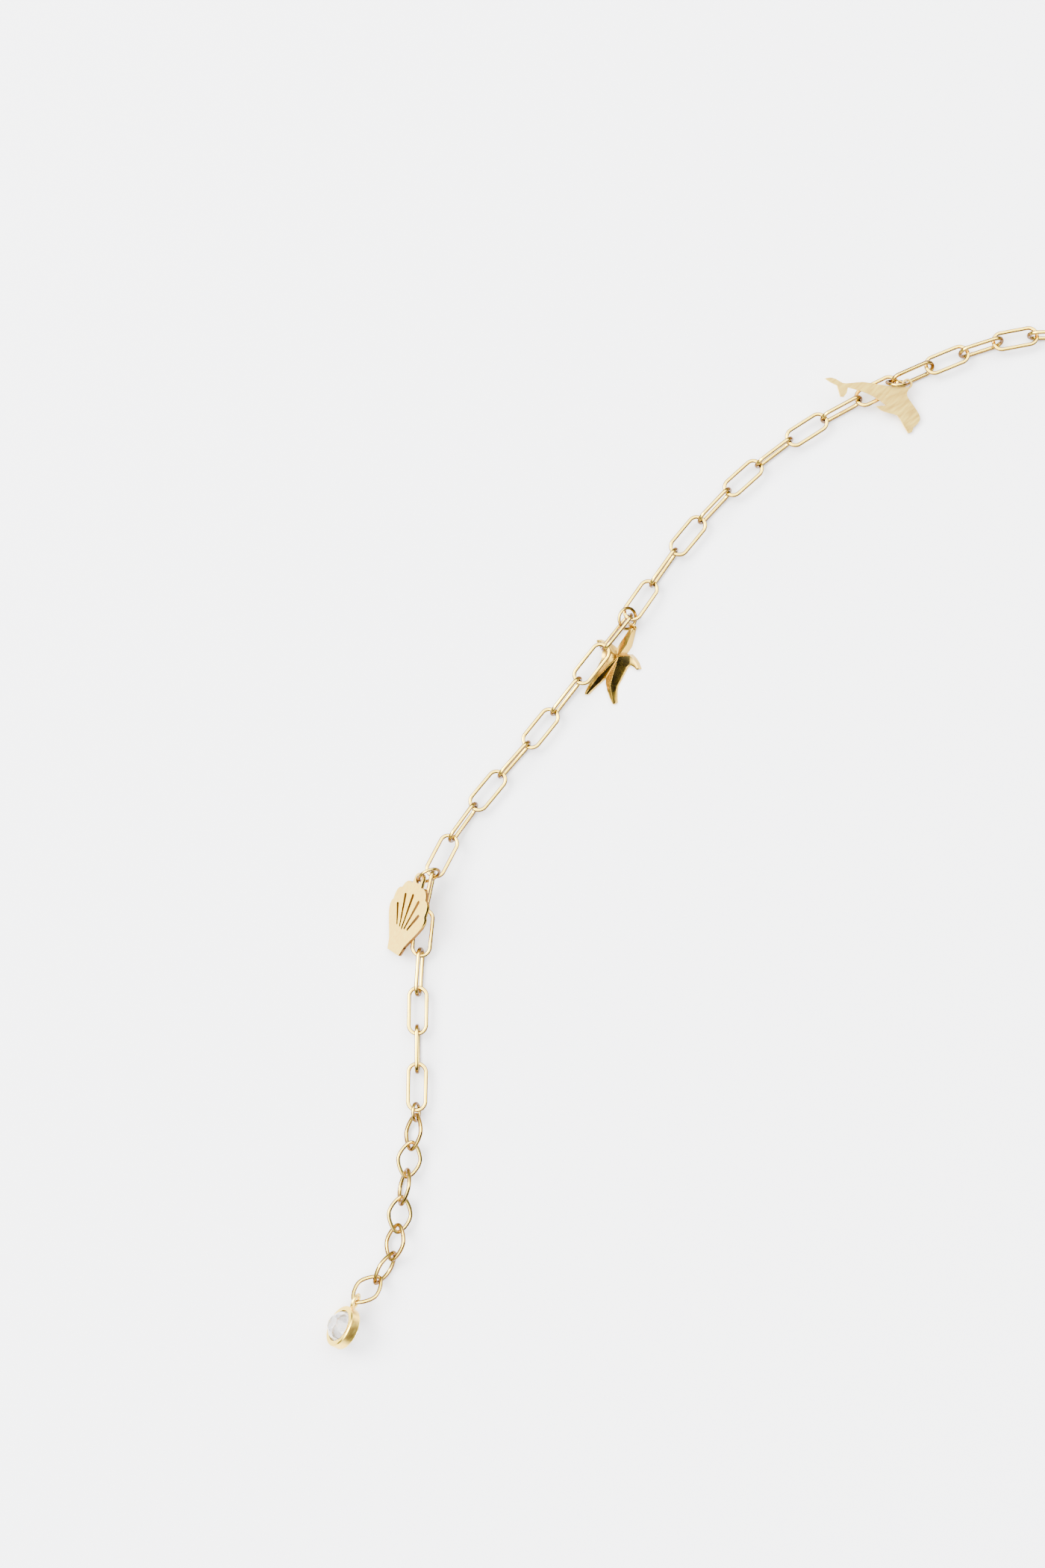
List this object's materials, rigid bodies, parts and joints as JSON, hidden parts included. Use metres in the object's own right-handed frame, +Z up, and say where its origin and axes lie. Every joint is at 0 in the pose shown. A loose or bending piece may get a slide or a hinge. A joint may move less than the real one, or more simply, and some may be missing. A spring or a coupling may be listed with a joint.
{
  "type": "charm bracelet",
  "caption": "Gold paperclip-chain bracelet laid out unfastened, with a scallop shell, a starfish and a dolphin on jump rings, a stone drop on its extender, and a ring clasp.",
  "frame": {"origin": "on the surface the bracelet lies on, below the middle of its bounding box", "axes": "+Z up from the surface; the strand runs from the stone drop at -X -Y to the clasp at +X +Y, as the picture shows it with +Y away from the viewer"},
  "size_m": [0.1158, 0.1216, 0.0054],
  "materials": {
    "polished_gold": "polished",
    "satin_gold": "satin",
    "clear_stone": "cut and polished"
  },
  "bodies": {
    "root": {"chain_link_01": "polished_gold", "chain_link_02": "polished_gold", "chain_link_03": "polished_gold", "chain_link_04": "polished_gold", "chain_link_05": "polished_gold", "chain_link_06": "polished_gold", "chain_link_07": "polished_gold", "chain_link_08": "polished_gold", "chain_link_09": "polished_gold", "chain_link_10": "polished_gold", "chain_link_11": "polished_gold", "chain_link_12": "polished_gold", "chain_link_13": "polished_gold", "chain_link_14": "polished_gold", "chain_link_15": "polished_gold", "chain_link_16": "polished_gold", "chain_link_17": "polished_gold", "chain_link_18": "polished_gold", "chain_link_19": "polished_gold", "chain_link_20": "polished_gold", "chain_link_21": "polished_gold", "chain_link_22": "polished_gold", "chain_link_23": "polished_gold", "chain_link_24": "polished_gold", "chain_link_25": "polished_gold", "chain_link_26": "polished_gold", "chain_link_27": "polished_gold", "chain_link_28": "polished_gold", "chain_link_29": "polished_gold", "chain_link_30": "polished_gold", "chain_link_31": "polished_gold", "chain_link_32": "polished_gold", "chain_link_33": "polished_gold", "clasp": "polished_gold", "clasp_ring": "polished_gold", "dolphin_ring": "polished_gold", "drop_bezel": "polished_gold", "extender_link_1": "polished_gold", "extender_link_2": "polished_gold", "extender_link_3": "polished_gold", "extender_link_4": "polished_gold", "extender_link_5": "polished_gold", "extender_link_6": "polished_gold", "extender_link_7": "polished_gold", "extender_small_link": "polished_gold", "shell_ring": "polished_gold", "star_charm": "polished_gold", "star_ring": "polished_gold", "dolphin_charm": "satin_gold", "shell_charm": "satin_gold", "drop_stone": "clear_stone"}
  },
  "joints": []
}
